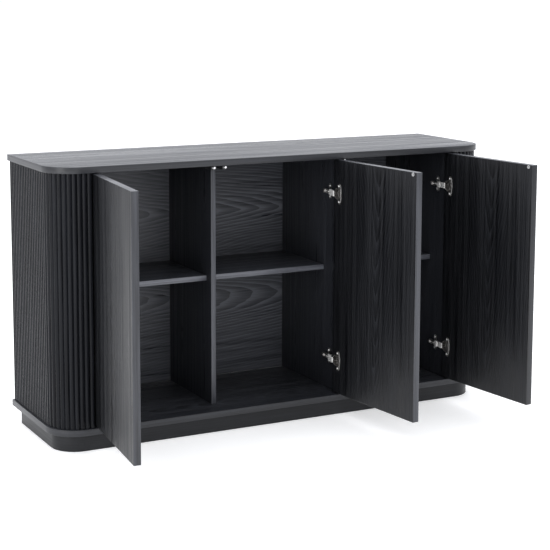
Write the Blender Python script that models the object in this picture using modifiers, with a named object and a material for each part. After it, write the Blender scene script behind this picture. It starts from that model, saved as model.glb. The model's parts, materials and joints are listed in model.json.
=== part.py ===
"""Black oak sideboard with reeded rounded ends, three push-latch doors and a recessed plinth.

Frame: X to the right, Y to the back, Z up. The origin is on the floor, under the middle of the top board.
The doors stand open. Each door hangs under an empty on its hinge axis, and each latch plunger under an
empty on its own centre line.
"""

import math

import bmesh
import bpy
from mathutils import Matrix, Vector

MM = 0.001

# Overall sizes
WIDTH = 1400 * MM
DEPTH = 390 * MM
HEIGHT = 788 * MM

# Boards
BOARD_T = 18 * MM  # top board and base board
PANEL_T = 15 * MM  # end panels, dividers and shelves
BACK_T = 6 * MM
BACK_INSET = 9 * MM  # from the rear edge of the top board to the back panel
CORNER_R = 90 * MM  # rounded front corners of the top and base boards
EDGE_BEVEL = 0.8 * MM
FIT = 0.3 * MM  # gap between two touching pieces

# Reeded cladding of the two ends
REED_INSET = 5 * MM  # from the board outline to the reed crowns
REED_DEPTH = 3.8 * MM
REED_PITCH = 14.7 * MM
REED_STEPS = 6  # facets of one reed
CLADDING_T = 12 * MM  # over the crowns
CLADDING_REAR = 3 * MM  # from the rear edge of the top board

# Plinth
PLINTH_H = 47 * MM
PLINTH_INSET = 16 * MM
PLINTH_REAR = 36 * MM
PLINTH_T = 18 * MM
BRACE_W = 60 * MM

# Doors
END_STRIP = 28 * MM  # from a rounded corner's start to the outer door's joint
DOOR_GAP = 4.5 * MM  # between two doors, or a door and the cladding
DOOR_T = 20 * MM
DOOR_END_GAP = 3 * MM  # over and under a door
DOOR_SET = 8 * MM  # from the front edge of the top board to the closed door's outer face
DOOR_BACK_GAP = 3 * MM  # from a closed door to the carcass
DOOR_OPEN = math.radians(96)

# Carcass
DIVIDER_SET = 45 * MM  # the left divider stands back from the carcass front
SHELF_SET = 75 * MM  # and so do the shelves
SHELF_TOP = 440 * MM
SHELF_PLAY = 0.8 * MM  # between a shelf's end and the panel beside it
PIN_R = 2.5 * MM
PIN_REACH = 9 * MM  # the length of a pin under the shelf
PIN_SINK = 9 * MM  # the depth of its hole in an end panel
PIN_FROM_END = 40 * MM
HOLE_PLAY = 0.3 * MM

# Concealed hinges
HINGE_FROM_END = 100 * MM  # from a door's top or bottom edge to its hinge
AXIS_FROM_FACE = 9 * MM  # from the closed door's outer face to the hinge axis
CUP_FROM_EDGE = 20.5 * MM
CUP_R = 17.2 * MM
CUP_WALL = 1.2 * MM
CUP_LIP = 0.2 * MM  # the cup's rim stands proud of its flange
CUP_BELOW_AXIS = 3 * MM  # from the hinge axis to the outside of the cup's floor
BORE_PLAY = 0.3 * MM
FLANGE_T = 1.2 * MM
FLANGE_H = 62 * MM
FLANGE_WAIST = 6 * MM  # from the cup's centre to the flange's near side
FLANGE_REACH = 14.5 * MM  # and to its far side, away from the hinge edge
FLANGE_BOW = 4 * MM
NECK_CLEAR = 0.7 * MM  # from the sweep of the door's inner edge to the neck
RIM_CLEAR = 0.3 * MM  # from the cup's rim to the neck, with the door open
NECK_T = 2.4 * MM
ARM_W = 11 * MM
ARM_T = 5 * MM
ARM_LENGTH = 56 * MM
ARM_START = 6 * MM  # behind the carcass front
PLATE_T = 5.4 * MM
PLATE_WING_T = 2 * MM
PLATE_RAIL = (10 * MM, 58 * MM)  # behind the carcass front
PLATE_LINE = 37 * MM  # from the carcass front to the plate's screws
PLATE_WING_H = 48 * MM
PLATE_WING_D = 15 * MM

# Magnetic push latches
LATCH_FROM_EDGE = 15 * MM  # from a door's free edge
LATCH_DROP = 9 * MM  # from the top board down to the plunger's centre line
LATCH_W = 13 * MM
LATCH_H = 16 * MM
LATCH_SET = 7 * MM  # behind the carcass front
LATCH_LENGTH = 44 * MM
PLUNGER_R = 4 * MM
PLUNGER_LENGTH = 24 * MM
PLUNGER_PLAY = 0.4 * MM
PLUNGER_TRAVEL = 3 * MM
STRIKE_R = 5.5 * MM
STRIKE_T = 1.2 * MM

# Facets
BOARD_CORNER_STEPS = 16
PLINTH_CORNER_STEPS = 12
PIN_SIDES = 12
HOLE_SIDES = 16
PLUNGER_SIDES = 20
ROD_SIDES = 24
CUP_SIDES = 32
FLANGE_STEPS = 8
KNUCKLE_STEPS = 6
OVERCUT = 1 * MM  # how far a cutter runs out of the face that it opens

# Levels and planes that follow from the sizes above
BASE_TOP = PLINTH_H + BOARD_T
TOP_UNDER = HEIGHT - BOARD_T
FRONT = -DEPTH / 2
REAR = DEPTH / 2
DOOR_OUTER = FRONT + DOOR_SET
DOOR_INNER = DOOR_OUTER + DOOR_T
CARCASS_FRONT = DOOR_INNER + DOOR_BACK_GAP
BACK_FACE = REAR - BACK_INSET - BACK_T
DOOR_LOW = BASE_TOP + DOOR_END_GAP
DOOR_HIGH = TOP_UNDER - DOOR_END_GAP
DOOR_SPAN = WIDTH - 2 * (CORNER_R + END_STRIP)
DOOR_PITCH = DOOR_SPAN / 3  # from one door joint to the next
DOOR_W = DOOR_PITCH - DOOR_GAP
CLADDING_END = DOOR_SPAN / 2 + DOOR_GAP / 2
DIVIDER_X = DOOR_PITCH / 2
END_PANEL_X = DOOR_SPAN / 2 - PANEL_T / 2
SHELF_FRONT = CARCASS_FRONT + SHELF_SET
HINGE_LEVELS = {"lower": DOOR_LOW + HINGE_FROM_END, "upper": DOOR_HIGH - HINGE_FROM_END}
PLUNGER_Z = TOP_UNDER - LATCH_DROP
INNER_FACE = DOOR_T - AXIS_FROM_FACE  # from the hinge axis to the door's inner face
CUP_FLOOR = -CUP_BELOW_AXIS
CUP_RIM = INNER_FACE + FIT + FLANGE_T + CUP_LIP
HOLLOW_R = CUP_R - CUP_WALL
PAST_SQUARE = DOOR_OPEN - math.pi / 2
# The neck leans towards the cup's rim as the door opens past square, and its corners come nearest
RIM_TO_AXIS = RIM_CLEAR + NECK_T / 2 / math.cos(PAST_SQUARE) + CUP_RIM * math.tan(PAST_SQUARE)
AXIS_FROM_EDGE = CUP_FROM_EDGE - math.sqrt(HOLLOW_R**2 - (ARM_W / 2) ** 2) + RIM_TO_AXIS
CUP_X = CUP_FROM_EDGE - AXIS_FROM_EDGE
# From the hinge axis to the near side of the arm's neck
NECK_NEAR = math.hypot(AXIS_FROM_EDGE, INNER_FACE) + NECK_CLEAR

# Each bay's two sides, inside its panels
BAYS = {
    "left": (-DOOR_SPAN / 2 + PANEL_T, -DIVIDER_X - PANEL_T / 2),
    "middle": (-DIVIDER_X + PANEL_T / 2, DIVIDER_X - PANEL_T / 2),
    "right": (DIVIDER_X + PANEL_T / 2, DOOR_SPAN / 2 - PANEL_T),
}
# Each door's hinge joint, the direction of its free edge, and the panel face that its hinges are fixed to
DOORS = {
    "left": (-DOOR_SPAN / 2, 1, -DOOR_SPAN / 2 + PANEL_T),
    "middle": (DOOR_PITCH / 2, -1, DIVIDER_X - PANEL_T / 2),
    "right": (DOOR_SPAN / 2, -1, DOOR_SPAN / 2 - PANEL_T),
}

WOOD = ("black_oak", (0.022, 0.024, 0.028, 1), 0.55, 0.0)
WOOD_TOP = ("black_oak_top", (0.05, 0.052, 0.057, 1), 0.4, 0.0)
NICKEL = ("nickel_plate", (0.72, 0.71, 0.69, 1), 0.28, 1.0)
PLASTIC = ("black_plastic", (0.02, 0.02, 0.022, 1), 0.4, 0.0)
MAGNET = ("magnet_steel", (0.78, 0.78, 0.78, 1), 0.25, 1.0)


def clear_scene():
    for obj in list(bpy.data.objects):
        bpy.data.objects.remove(obj, do_unlink=True)


def new_collection(name):
    collection = bpy.data.collections.new(name)
    bpy.context.scene.collection.children.link(collection)
    return collection


def new_material(name, finish):
    _, colour, roughness, metallic = finish
    material = bpy.data.materials.new(name)
    material.use_nodes = True
    shader = material.node_tree.nodes["Principled BSDF"]
    shader.inputs["Base Color"].default_value = colour
    shader.inputs["Roughness"].default_value = roughness
    shader.inputs["Metallic"].default_value = metallic
    material.diffuse_color = colour
    return material


def add_part(name, data, finish, parent=None):
    obj = bpy.data.objects.new(name, data)
    PARTS.objects.link(obj)
    obj.data.materials.append(new_material(f"{finish[0]}_{name}", finish))
    obj.parent = parent
    return obj


def add_cutter(name, data, parent=None):
    obj = bpy.data.objects.new(name, data)
    CUTTERS.objects.link(obj)
    obj.hide_render = True
    obj.display_type = "WIRE"
    obj.parent = parent
    return obj


def box_mesh(name, low, high):
    low, high = Vector(low), Vector(high)
    mesh = bpy.data.meshes.new(name)
    bm = bmesh.new()
    size = Matrix.Diagonal((*(high - low), 1))
    bmesh.ops.create_cube(bm, size=1, matrix=Matrix.Translation((low + high) / 2) @ size)
    bm.to_mesh(mesh)
    bm.free()
    return mesh


def rod_mesh(name, start, end, radius, sides=ROD_SIDES):
    """A round bar between two points, smooth round its side."""
    start, end = Vector(start), Vector(end)
    turn = Vector((0, 0, 1)).rotation_difference(end - start).to_matrix().to_4x4()
    mesh = bpy.data.meshes.new(name)
    bm = bmesh.new()
    bmesh.ops.create_cone(
        bm,
        cap_ends=True,
        segments=sides,
        radius1=radius,
        radius2=radius,
        depth=(end - start).length,
        matrix=Matrix.Translation((start + end) / 2) @ turn,
    )
    bm.to_mesh(mesh)
    bm.free()
    mesh.shade_smooth()
    mesh.set_sharp_from_angle(angle=math.radians(40))
    return mesh


def plate_mesh(name, outline, low, high):
    """The solid between two levels over an outline in plan, made from a filled and extruded 2D curve."""
    curve = bpy.data.curves.new(name, "CURVE")
    curve.dimensions = "2D"
    curve.fill_mode = "BOTH"
    curve.extrude = (high - low) / 2
    spline = curve.splines.new("POLY")
    spline.points.add(len(outline) - 1)
    for point, (x, y) in zip(spline.points, outline):
        point.co = (x, y, 0, 1)
    spline.use_cyclic_u = True
    guide = bpy.data.objects.new(name, curve)
    CUTTERS.objects.link(guide)
    graph = bpy.context.evaluated_depsgraph_get()
    mesh = bpy.data.meshes.new_from_object(guide.evaluated_get(graph))
    bpy.data.objects.remove(guide)
    bm = bmesh.new()
    bm.from_mesh(mesh)
    bmesh.ops.remove_doubles(bm, verts=bm.verts, dist=1e-6)
    bmesh.ops.translate(bm, verts=bm.verts, vec=(0, 0, (low + high) / 2))
    bmesh.ops.recalc_face_normals(bm, faces=bm.faces)
    bm.to_mesh(mesh)
    bm.free()
    mesh.name = name
    return mesh


def bevel(obj, width=EDGE_BEVEL, segments=1):
    modifier = obj.modifiers.new("Edges", "BEVEL")
    modifier.width = width
    modifier.segments = segments
    modifier.limit_method = "ANGLE"
    modifier.angle_limit = math.radians(50)
    modifier.use_clamp_overlap = True


def boolean(obj, other, operation):
    modifier = obj.modifiers.new(other.name, "BOOLEAN")
    modifier.operation = operation
    modifier.solver = "EXACT"
    modifier.object = other


def arc(centre, radius, start, end, steps):
    """Points on an arc in plan, from one angle to another in degrees, both ends included."""
    angles = (math.radians(start + (end - start) * i / steps) for i in range(steps + 1))
    return [(centre[0] + radius * math.cos(a), centre[1] + radius * math.sin(a)) for a in angles]


def board_outline():
    """Square at the rear and rounded at the front."""
    side = WIDTH / 2
    centre_x, centre_y = side - CORNER_R, FRONT + CORNER_R
    left = arc((-centre_x, centre_y), CORNER_R, 180, 270, BOARD_CORNER_STEPS)
    right = arc((centre_x, centre_y), CORNER_R, 270, 360, BOARD_CORNER_STEPS)
    return [(-side, REAR), *left, *right, (side, REAR)]


# ---- Boards and panels


def make_boards():
    for name, low, finish in (("top_board", TOP_UNDER, WOOD_TOP), ("base_board", PLINTH_H, WOOD)):
        board = add_part(name, plate_mesh(name, board_outline(), low, low + BOARD_T), finish)
        bevel(board)


def make_panel(name, x, front):
    low = (x - PANEL_T / 2, front, BASE_TOP + FIT)
    high = (x + PANEL_T / 2, BACK_FACE - FIT, TOP_UNDER - FIT)
    panel = add_part(name, box_mesh(name, low, high), WOOD)
    bevel(panel)
    return panel


def make_back_panel():
    edge = WIDTH / 2 - REED_INSET - CLADDING_T - FIT
    low = (-edge, BACK_FACE, BASE_TOP + FIT)
    high = (edge, BACK_FACE + BACK_T, TOP_UNDER - FIT)
    add_part("back_panel", box_mesh("back_panel", low, high), WOOD)


def cladding_point(along, inset):
    """A point of the right end's cladding: how far along the crowns, and how far inside the board outline."""
    crown_r = CORNER_R - REED_INSET
    straight = WIDTH / 2 - CORNER_R - CLADDING_END
    centre = (WIDTH / 2 - CORNER_R, FRONT + CORNER_R)
    bend = crown_r * math.pi / 2
    if along < straight:
        return (CLADDING_END + along, FRONT + inset)
    if along > straight + bend:
        return (WIDTH / 2 - inset, centre[1] + along - straight - bend)
    angle = (along - straight) / crown_r
    radius = CORNER_R - inset
    return (centre[0] + radius * math.sin(angle), centre[1] - radius * math.cos(angle))


def cladding_length():
    front = WIDTH / 2 - CORNER_R - CLADDING_END
    side = REAR - CLADDING_REAR - (FRONT + CORNER_R)
    return front + (CORNER_R - REED_INSET) * math.pi / 2 + side


def cladding_outline():
    """Half-round reeds outside and a smooth face inside."""
    length = cladding_length()
    count = round(length / REED_PITCH)
    pitch = length / count
    outer = []
    for i in range(count * REED_STEPS + 1):
        phase = (i % REED_STEPS) / REED_STEPS
        inset = REED_INSET + REED_DEPTH * (1 - math.sin(math.pi * phase))
        outer.append(cladding_point(pitch * i / REED_STEPS, inset))
    steps = count * 2
    inner = [cladding_point(length * i / steps, REED_INSET + CLADDING_T) for i in range(steps + 1)]
    return outer + inner[::-1]


def make_cladding():
    outline = cladding_outline()
    for side, sign in (("left", -1), ("right", 1)):
        name = f"{side}_reeded_cladding"
        mesh = plate_mesh(name, [(sign * x, y) for x, y in outline], BASE_TOP + FIT, TOP_UNDER - FIT)
        add_part(name, mesh, WOOD)


# ---- Plinth


def make_plinth():
    low, high = 0, PLINTH_H - FIT
    corner_y = FRONT + CORNER_R
    outer_r, inner_r = CORNER_R - PLINTH_INSET, CORNER_R - PLINTH_INSET - PLINTH_T
    centre_x = WIDTH / 2 - CORNER_R
    left, right = (-centre_x, corner_y), (centre_x, corner_y)
    steps = PLINTH_CORNER_STEPS
    outer = arc(left, outer_r, 180, 270, steps) + arc(right, outer_r, 270, 360, steps)
    inner = arc(right, inner_r, 360, 270, steps) + arc(left, inner_r, 270, 180, steps)
    add_part("plinth_front", plate_mesh("plinth_front", outer + inner, low, high), WOOD)
    side = WIDTH / 2 - PLINTH_INSET
    rear = REAR - PLINTH_REAR
    for label, sign in (("left", -1), ("right", 1)):
        xs = sorted((sign * side, sign * (side - PLINTH_T)))
        name = f"plinth_{label}"
        mesh = box_mesh(name, (xs[0], corner_y + FIT, low), (xs[1], rear, high))
        add_part(name, mesh, WOOD)
    inside = side - PLINTH_T - FIT
    mesh = box_mesh("plinth_rear", (-inside, rear - PLINTH_T, low), (inside, rear, high))
    add_part("plinth_rear", mesh, WOOD)
    front = FRONT + PLINTH_INSET + PLINTH_T + FIT
    brace = (-BRACE_W / 2, front, low), (BRACE_W / 2, rear - PLINTH_T - FIT, high)
    add_part("plinth_brace", box_mesh("plinth_brace", *brace), WOOD)


# ---- Shelves and their pins


def make_shelves():
    for bay, (left, right) in BAYS.items():
        low = (left + SHELF_PLAY, SHELF_FRONT, SHELF_TOP - PANEL_T)
        high = (right - SHELF_PLAY, BACK_FACE - FIT, SHELF_TOP)
        bevel(add_part(f"{bay}_shelf", box_mesh(f"{bay}_shelf", low, high), WOOD))


def make_pins(panels):
    """Pins through each divider hold the shelves of both bays; short ones sit in the end panels."""
    places = {"front": SHELF_FRONT + PIN_FROM_END, "rear": BACK_FACE - PIN_FROM_END}
    z = SHELF_TOP - PANEL_T - PIN_R - FIT
    half = PANEL_T / 2
    spans = {
        "left_end": (-END_PANEL_X + half - PIN_SINK, -END_PANEL_X + half + PIN_REACH),
        "left_divider": (-DIVIDER_X - half - PIN_REACH, -DIVIDER_X + half + PIN_REACH),
        "right_divider": (DIVIDER_X - half - PIN_REACH, DIVIDER_X + half + PIN_REACH),
        "right_end": (END_PANEL_X - half - PIN_REACH, END_PANEL_X - half + PIN_SINK),
    }
    for label, (start, end) in spans.items():
        for place, y in places.items():
            name = f"{label}_{place}_shelf_pin"
            add_part(name, rod_mesh(name, (start, y, z), (end, y, z), PIN_R, PIN_SIDES), NICKEL)
            # The hole runs on past the pin, out of the panel's open face.
            ends = (start - FIT, y, z), (end + FIT, y, z)
            hole = rod_mesh(f"{name}_hole", *ends, PIN_R + HOLE_PLAY, HOLE_SIDES)
            boolean(panels[label], add_cutter(f"{name}_hole", hole), "DIFFERENCE")


# ---- Doors. Each is drawn closed, from its own hinge axis, with its free edge towards +X or -X.


def axis_of(door):
    """The hinge axis in plan, and the direction from it to the free edge."""
    joint_x, sign, _ = DOORS[door]
    return joint_x + sign * (DOOR_GAP / 2 + AXIS_FROM_EDGE), DOOR_OUTER + AXIS_FROM_FACE, sign


def add_axis(name, location, angle=0.0):
    empty = bpy.data.objects.new(name, None)
    PARTS.objects.link(empty)
    empty.location = location
    empty.rotation_euler = (0, 0, angle)
    return empty


def spread(sign, near, far):
    """Two X values in order, whichever way the door faces."""
    return sorted((sign * near, sign * far))


def make_door(door):
    x, y, sign = axis_of(door)
    hinge = add_axis(f"{door}_hinge_axis", (x, y, 0), -sign * DOOR_OPEN)
    name = f"{door}_door"
    xs = spread(sign, -AXIS_FROM_EDGE, DOOR_W - AXIS_FROM_EDGE)
    mesh = box_mesh(name, (xs[0], -AXIS_FROM_FACE, DOOR_LOW), (xs[1], INNER_FACE, DOOR_HIGH))
    panel = add_part(name, mesh, WOOD, hinge)
    bevel(panel)
    for level, z in HINGE_LEVELS.items():
        make_cup(door, level, hinge, sign, z, panel)
    make_strike(door, hinge, sign)


def flange_outline(sign):
    """A plate with rounded ends, its far side a wide arc."""
    half = FLANGE_H / 2
    far = []
    for i in range(FLANGE_STEPS + 1):
        along = 2 * i / FLANGE_STEPS - 1
        far.append((CUP_X + FLANGE_REACH - FLANGE_BOW * along**2, half * along))
    near = [(CUP_X + FLANGE_WAIST, half), (CUP_X + FLANGE_WAIST, -half)]
    return [(sign * px, pz) for px, pz in far + near]


def make_cup(door, level, hinge, sign, z, panel):
    name = f"{door}_door_{level}_hinge_cup"
    face = INNER_FACE + FIT
    centre = sign * CUP_X
    body = rod_mesh(name, (centre, CUP_FLOOR, z), (centre, CUP_RIM, z), CUP_R, CUP_SIDES)
    cup = add_part(name, body, NICKEL, hinge)
    flange = plate_mesh(f"{name}_flange", flange_outline(sign), 0, FLANGE_T)
    flange.transform(Matrix.Translation((0, face + FLANGE_T, z)) @ Matrix.Rotation(math.pi / 2, 4, "X"))
    boolean(cup, add_cutter(f"{name}_flange", flange, hinge), "UNION")
    start = (centre, CUP_FLOOR + CUP_WALL, z)
    end = (centre, CUP_RIM + OVERCUT, z)
    hollow = rod_mesh(f"{name}_hollow", start, end, HOLLOW_R, CUP_SIDES)
    boolean(cup, add_cutter(f"{name}_hollow", hollow, hinge), "DIFFERENCE")
    bore_r = CUP_R + BORE_PLAY
    start = (centre, CUP_FLOOR - BORE_PLAY, z)
    end = (centre, INNER_FACE + OVERCUT, z)
    bore = rod_mesh(f"{name}_bore", start, end, bore_r, CUP_SIDES)
    boolean(panel, add_cutter(f"{name}_bore", bore, hinge), "DIFFERENCE")


def make_strike(door, hinge, sign):
    name = f"{door}_door_strike"
    x = sign * (DOOR_W - AXIS_FROM_EDGE - LATCH_FROM_EDGE)
    start = (x, INNER_FACE + FIT, PLUNGER_Z)
    end = (x, INNER_FACE + FIT + STRIKE_T, PLUNGER_Z)
    add_part(name, rod_mesh(name, start, end, STRIKE_R), MAGNET, hinge)


# ---- Hinge arms and mounting plates, fixed to the carcass


def arm_outline(face):
    """In plan from the hinge axis: a gooseneck that goes round the door's edge, and the arm behind it."""
    near, far = NECK_NEAR, NECK_NEAR + NECK_T
    half = NECK_T / 2
    start = INNER_FACE + DOOR_BACK_GAP + ARM_START
    low, high = face + PLATE_T + 2 * FIT, face + PLATE_T + 2 * FIT + ARM_T
    return [
        *arc((0, 0), half, 90, 270, KNUCKLE_STEPS),
        (far, -half),
        (far, start - NECK_T),
        (high, start + NECK_T),
        (high, start + ARM_LENGTH),
        (low, start + ARM_LENGTH),
        (low, start),
        (near, start - 2 * NECK_T),
        (near, half),
    ]


def make_hinge_arms(door):
    x, y, sign = axis_of(door)
    panel_face = DOORS[door][2]
    face = sign * (panel_face - x)
    outline = [(x + sign * px, y + py) for px, py in arm_outline(face)]
    for level, z in HINGE_LEVELS.items():
        name = f"{door}_door_{level}_hinge_arm"
        add_part(name, plate_mesh(name, outline, z - ARM_W / 2, z + ARM_W / 2), NICKEL)
        make_plate(door, level, panel_face, sign, z)


def make_plate(door, level, panel_face, sign, z):
    name = f"{door}_door_{level}_hinge_plate"
    xs = sorted((panel_face + sign * FIT, panel_face + sign * (FIT + PLATE_T)))
    ys = [CARCASS_FRONT + reach for reach in PLATE_RAIL]
    rail = box_mesh(name, (xs[0], ys[0], z - ARM_W / 2), (xs[1], ys[1], z + ARM_W / 2))
    plate = add_part(name, rail, NICKEL)
    xs = sorted((panel_face + sign * FIT, panel_face + sign * (FIT + PLATE_WING_T)))
    middle = CARCASS_FRONT + PLATE_LINE
    low = (xs[0], middle - PLATE_WING_D / 2, z - PLATE_WING_H / 2)
    high = (xs[1], middle + PLATE_WING_D / 2, z + PLATE_WING_H / 2)
    wing = add_cutter(f"{name}_wing", box_mesh(f"{name}_wing", low, high))
    boolean(plate, wing, "UNION")


# ---- Push latches


def make_latch(door):
    x, y, sign = axis_of(door)
    x += sign * (DOOR_W - AXIS_FROM_EDGE - LATCH_FROM_EDGE)
    front = CARCASS_FRONT + LATCH_SET
    top = TOP_UNDER - FIT
    name = f"{door}_latch_body"
    low = (x - LATCH_W / 2, front, top - LATCH_H)
    high = (x + LATCH_W / 2, front + LATCH_LENGTH, top)
    body = add_part(name, box_mesh(name, low, high), PLASTIC)
    tip = DOOR_INNER + FIT + STRIKE_T + FIT
    end = tip + PLUNGER_LENGTH
    bore_end = end + PLUNGER_TRAVEL + PLUNGER_PLAY
    bore_start = (x, front - OVERCUT, PLUNGER_Z)
    bore = rod_mesh(f"{name}_bore", bore_start, (x, bore_end, PLUNGER_Z), PLUNGER_R + PLUNGER_PLAY)
    boolean(body, add_cutter(f"{name}_bore", bore), "DIFFERENCE")
    slide = add_axis(f"{door}_plunger_axis", (x, tip, PLUNGER_Z))
    name = f"{door}_latch_plunger"
    rod = rod_mesh(name, (0, 0, 0), (0, PLUNGER_LENGTH, 0), PLUNGER_R, PLUNGER_SIDES)
    add_part(name, rod, MAGNET, slide)


clear_scene()
PARTS = new_collection("sideboard")
CUTTERS = new_collection("cutters")

make_boards()
make_back_panel()
make_cladding()
make_plinth()
PANELS = {
    "left_end": make_panel("left_end_panel", -END_PANEL_X, CARCASS_FRONT),
    "left_divider": make_panel("left_divider", -DIVIDER_X, CARCASS_FRONT + DIVIDER_SET),
    "right_divider": make_panel("right_divider", DIVIDER_X, CARCASS_FRONT),
    "right_end": make_panel("right_end_panel", END_PANEL_X, CARCASS_FRONT),
}
make_shelves()
make_pins(PANELS)
for which in DOORS:
    make_door(which)
    make_hinge_arms(which)
    make_latch(which)
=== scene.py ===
"""Looks of a black oak sideboard: grained boards, reeded ends, concealed hinges and push latches.

Metres, in the frame's own axes: X right, Y back, Z up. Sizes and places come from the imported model's
boxes and joints. Only what the plain model leaves out has a size of its own here.
"""

import json
import math

import bmesh
import bpy
from mathutils import Matrix, Vector


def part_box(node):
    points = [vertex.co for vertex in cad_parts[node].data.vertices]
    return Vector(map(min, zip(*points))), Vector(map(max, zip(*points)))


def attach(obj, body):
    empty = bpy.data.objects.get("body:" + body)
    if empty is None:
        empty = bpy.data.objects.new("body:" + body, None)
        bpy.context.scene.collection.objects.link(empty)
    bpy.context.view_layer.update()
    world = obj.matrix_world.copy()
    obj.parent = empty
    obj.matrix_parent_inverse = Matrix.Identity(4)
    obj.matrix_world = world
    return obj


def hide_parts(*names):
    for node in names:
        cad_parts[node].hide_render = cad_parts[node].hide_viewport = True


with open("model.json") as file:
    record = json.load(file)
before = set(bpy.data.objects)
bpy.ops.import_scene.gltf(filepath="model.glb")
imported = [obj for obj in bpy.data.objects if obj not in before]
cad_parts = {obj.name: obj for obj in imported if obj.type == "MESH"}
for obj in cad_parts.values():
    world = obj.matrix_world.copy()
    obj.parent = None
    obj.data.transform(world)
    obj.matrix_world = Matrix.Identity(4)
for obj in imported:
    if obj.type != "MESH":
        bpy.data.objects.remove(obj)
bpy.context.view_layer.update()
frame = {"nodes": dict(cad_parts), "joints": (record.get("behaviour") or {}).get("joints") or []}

MM = 0.001
SAME_PLACE = 1e-6
CARCASS = "carcass"
DOORS = ("left", "middle", "right")
LEVELS = ("lower", "upper")
UPRIGHTS = ("left_end_panel", "right_end_panel", "left_divider", "right_divider")
SHELVES = ("left_shelf", "middle_shelf", "right_shelf")

# Camera. Angles are in radians, and the lens in millimetres.
CAMERA_AT = Vector((-1.9754, -3.9197, 1.2653))
CAMERA_YAW = -0.4802
CAMERA_PITCH = 0.1358
CAMERA_ROLL = 0.0028
CAMERA_LENS = 97.27
CAMERA_SHIFT_Y = -0.1545

# How far a face leans when it counts as an edge, as a part of its normal
EDGE_FACING = 0.6
LEVEL_FACING = 0.8

# Edges sharper than this stay sharp, in degrees
BOARD_SHARP = 20
METAL_SHARP = 35
REED_SHARP = 50

# Boards
CORNER_R = 90 * MM
BOARD_EASE = 1.1 * MM
PANEL_EASE = 0.7 * MM

# Reeds
REED_PITCH = 14.7 * MM
REED_W = 14.6 * MM
REED_DEPTH = 6.5 * MM
REED_INSET = 5 * MM
CLADDING_T = 12 * MM
BACKING_LAP = 0.2 * MM  # how far the backing reaches into the reeds

# Hinges: the cup and its flange
CUP_WALL = 1.2 * MM
CUP_RIM = 0.5 * MM
CUP_FOOT_R = 1.5 * MM
CUP_GAP = 0.3 * MM  # between the cup and the door
FLANGE_EAR_R = 6 * MM
FLANGE_EAR_OUT = 8 * MM  # the ears' place beside the cup's centre
FLANGE_SWEEP_R = 81 * MM
FLANGE_MOUTH_R = 14.5 * MM
FLANGE_SCREWS = 23 * MM  # from the cup's centre, up and down
FLANGE_SCREWS_OUT = 6 * MM
BEAD_R = 1.8 * MM
BEAD_REACH = 1.08  # how far the rolled rim runs, as a share of the flange's bow
PIN_R = 1.3 * MM
PIN_HALF = 9 * MM

# Hinges: the arm, its damper's housing and its clip
ARM_EASE = 1.0 * MM
ARM_L = 48 * MM
ARM_RISE = 5.3 * MM
RAIL_HALF = 0.9 * MM
CLIP_L = 9 * MM
CLIP_HALF = 4 * MM
CLIP_RISE = 2.2 * MM
NECK_L = 18.2 * MM
HOUSING_FROM_FRONT = 25 * MM
HOUSING_L = 15 * MM
HOUSING_H = 16.5 * MM
HOUSING_RISE = 2.5 * MM
ARM_SCREWS = ((19 * MM, 0.9), (32 * MM, 0.75))  # place along the arm, and size

# Hinges: the plate and its wings
PLATE_SCREWS = 16 * MM
PLATE_END_R = 7 * MM
WING_T = 2 * MM
WING_FROM_FRONT = 27 * MM

# Screw heads
SCREW_R = 3.1 * MM
SCREW_T = 1.1 * MM
RECESS_W = 0.9 * MM

# Push latches
EAR_T = 1.6 * MM
EAR_W = 7 * MM
EARS = ((-1, 13 * MM), (1, 26 * MM))  # side, and place along the case
BORE_GAP = 0.4 * MM
BORE_L = 40 * MM
GROOVE_AT = 6 * MM
GROOVE_DEPTH = 0.5 * MM

# Shelf pins
PIN_EASE = 0.4 * MM

# Screws of the back panel
BACK_SCREW_PITCH = 140 * MM
BACK_SCREW_INSET = 7.5 * MM
BACK_SCREW_SUNK = 0.15 * MM

# Middle tone of the stain, on figured and on straight oak
OAK_TONE = 0.26
STRAIGHT_TONE = 0.34

# Figured grain
CUT_DEPTH_SQUARED = 0.0011  # how deep the veneer is cut, from the tree's heart
EARLY_WOOD_FALL = 2.2
ARCH_FADE = 5.0
ARCH_FADE_MOST = 0.75
HEART_DRIFT = 0.09
RING_TAPER = 0.115
RING_RIPPLE = 0.011
RINGS_PER_METRE = 118.0

# Straight grain, as a pattern's scale along X, Y and Z
LEVEL_GRAIN = (2.4, 2.4, 260)
UPRIGHT_GRAIN = (150, 150, 2.4)

# The studio's glow
GLOW_BEHIND = 0.5
GLOW_ACROSS = 0.16
GLOW_FRONT = 0.55
GLOW_MOST = 1.06
GLOW_UP = 0.5
DIM_LEFT = 0.35
FLOOR_GLOW = 0.35
FLOOR_HALF = 60


# ---- Nodes


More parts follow.
